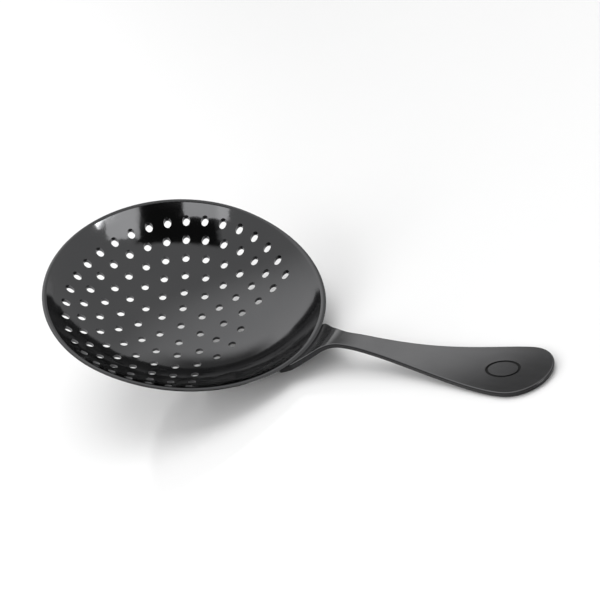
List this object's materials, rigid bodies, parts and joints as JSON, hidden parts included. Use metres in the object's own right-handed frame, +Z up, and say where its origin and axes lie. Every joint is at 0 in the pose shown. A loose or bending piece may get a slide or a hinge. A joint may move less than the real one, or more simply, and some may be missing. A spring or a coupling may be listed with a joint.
{
  "type": "julep strainer",
  "caption": "Julep cocktail strainer: egg-shaped perforated metal bowl with a flared, spot-welded spoon-like handle, lying bowl up.",
  "frame": {"origin": "centre of the bounding box on the surface that the strainer lies on", "axes": "+Z up from that surface, +X along the strainer from the bowl to the tip of the handle, Y across it"},
  "size_m": [0.1574, 0.0744, 0.0397],
  "materials": {
    "bowl_gunmetal": "mirror polished, gunmetal coating",
    "handle_gunmetal": "satin polished, gunmetal coating",
    "weld_steel": "fused steel inside the joint"
  },
  "bodies": {
    "root": {"bowl": "bowl_gunmetal", "handle": "handle_gunmetal", "weld_1": "weld_steel", "weld_2": "weld_steel", "weld_3": "weld_steel"}
  },
  "joints": []
}
